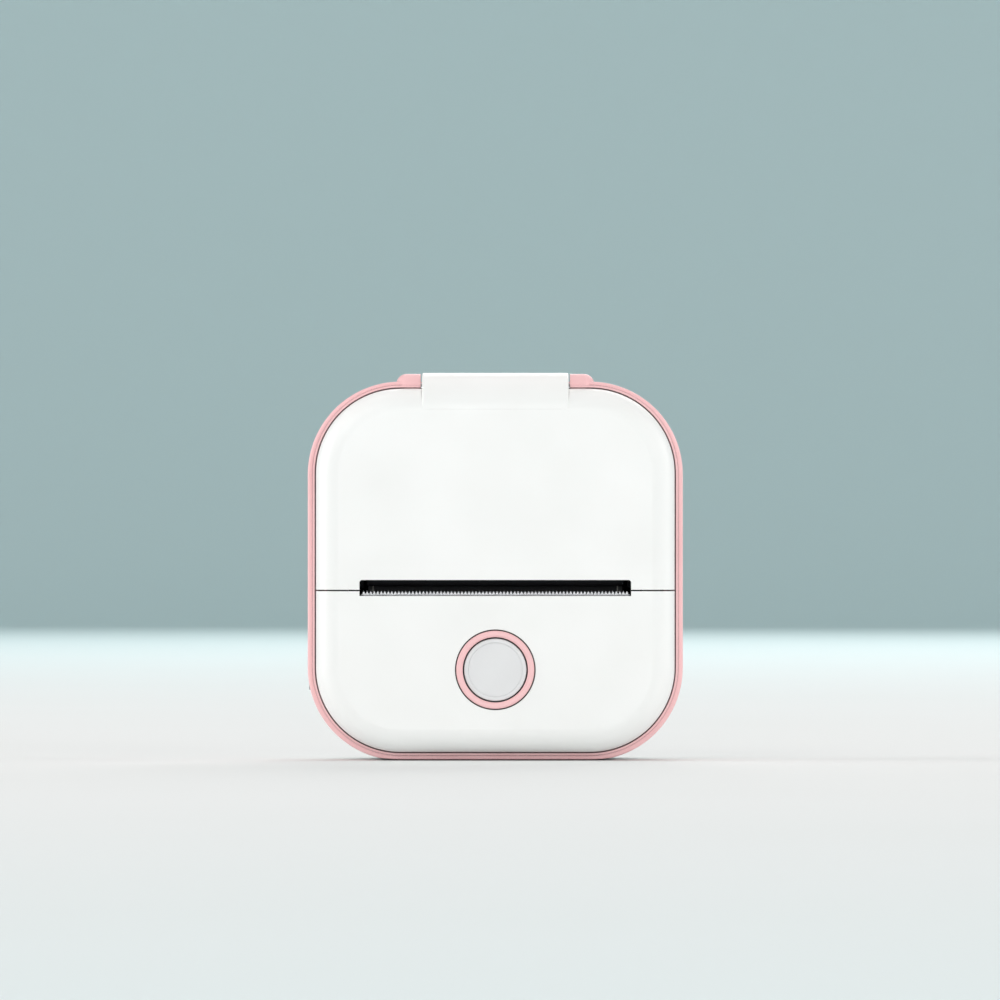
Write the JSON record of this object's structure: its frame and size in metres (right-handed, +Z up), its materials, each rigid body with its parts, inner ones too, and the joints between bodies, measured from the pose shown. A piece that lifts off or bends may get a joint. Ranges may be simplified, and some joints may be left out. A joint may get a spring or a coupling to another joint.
{
  "type": "pocket thermal printer",
  "caption": "Palm-sized thermal printer, a rounded square with a top-hinged front lid, a toothed paper slot, a round push button and the roll, roller, head and gears inside.",
  "frame": {"origin": "on the surface the printer stands on, under the middle of its outline", "axes": "+Z up, front with the slot and button faces -Y, +X to the right seen from the front"},
  "size_m": [0.0826, 0.042, 0.0852],
  "materials": {
    "white_shell": "white moulded plastic, satin gloss",
    "pink_shell": "pale pink moulded plastic",
    "grey_cap": "light grey moulded plastic",
    "black_plastic": "black moulded plastic",
    "roller_rubber": "ground black rubber",
    "gear_plastic": "natural acetal",
    "steel": "plain steel",
    "head_alloy": "pressed aluminium",
    "head_ceramic": "alumina with a glazed print line",
    "board_green": "solder-masked circuit board",
    "chip_black": "moulded chip packages",
    "connector_white": "ivory connector plastic",
    "flex_amber": "amber ribbon film",
    "module_can": "tinned shield",
    "foam_pad": "adhesive foam",
    "battery_wrap": "silver foil pouch",
    "paper": "coated thermal paper",
    "core_plastic": "wound card tube"
  },
  "bodies": {
    "casing": {"mid_frame": "pink_shell", "rear_cover": "white_shell", "front_panel": "white_shell", "button_ring": "pink_shell", "tear_strip": "steel", "paper_guide": "black_plastic", "print_chassis": "black_plastic", "paper_bay": "black_plastic", "paper_sensor": "chip_black", "head_pivot": "steel", "head_springs": "steel", "gear_studs": "steel", "drive_motor": "steel", "main_board": "board_green", "radio_module": "module_can", "driver_chips": "chip_black", "battery_connector": "connector_white", "head_connector": "connector_white", "head_flex": "flex_amber", "usb_socket": "steel", "power_switch": "chip_black", "battery": "battery_wrap", "battery_pad": "foam_pad", "case_screws": "steel", "hinge_pin": "steel"},
    "lid": {"lid": "white_shell", "lid_liner": "black_plastic", "platen_bushes": "black_plastic"},
    "platen": {"platen_shaft": "steel", "platen_rubber": "roller_rubber", "platen_gear": "gear_plastic"},
    "idler": {"idler_gear": "gear_plastic"},
    "reduction": {"reduction_gear": "gear_plastic"},
    "rotor": {"motor_shaft": "steel", "motor_pinion": "steel"},
    "print_head": {"head_ceramic": "head_ceramic", "head_heat_sink": "head_alloy"},
    "button": {"button_cap": "grey_cap", "switch_plunger": "grey_cap"},
    "roll": {"paper_roll": "paper", "paper_core": "core_plastic"}
  },
  "joints": [
    {"name": "lid_hinge", "type": "hinge", "parent": "casing", "child": "lid", "pos_m": [0, -0.0116, 0.082], "axis": [-1, 0, 0], "range_deg": [0, 105]},
    {"name": "power_press", "type": "slide", "parent": "casing", "child": "button", "axis": [0, 1, 0], "range_m": [0, 0.0005], "stiffness_N_per_m": 400, "springref_m": -0.0005},
    {"name": "head_tilt", "type": "hinge", "parent": "casing", "child": "print_head", "pos_m": [0, -0.0103, 0.02981], "axis": [-1, 0, 0], "range_deg": [0, 2.5], "stiffness_Nm_per_rad": 0.05, "springref_deg": -1.15, "deforming": ["head_springs"]},
    {"name": "platen_spin", "type": "hinge", "parent": "lid", "child": "platen", "pos_m": [0, -0.0125, 0.0424], "axis": [1, 0, 0], "continuous": true},
    {"name": "idler_spin", "type": "hinge", "parent": "casing", "child": "idler", "pos_m": [0, -0.00293, 0.03794], "axis": [1, 0, 0], "continuous": true},
    {"name": "reduction_spin", "type": "hinge", "parent": "casing", "child": "reduction", "pos_m": [0, 0.00017, 0.02942], "axis": [1, 0, 0], "continuous": true},
    {"name": "motor_spin", "type": "hinge", "parent": "casing", "child": "rotor", "pos_m": [0, -0.00198, 0.02011], "axis": [1, 0, 0], "continuous": true},
    {"name": "roll_spin", "type": "hinge", "parent": "casing", "child": "roll", "pos_m": [0, 0.002, 0.0598], "axis": [1, 0, 0], "continuous": true}
  ],
  "couplings": [
    {"joint": "idler_spin", "follows": "platen_spin", "ratio": -0.75},
    {"joint": "reduction_spin", "follows": "platen_spin", "ratio": 1.5},
    {"joint": "motor_spin", "follows": "platen_spin", "ratio": -4.2}
  ]
}
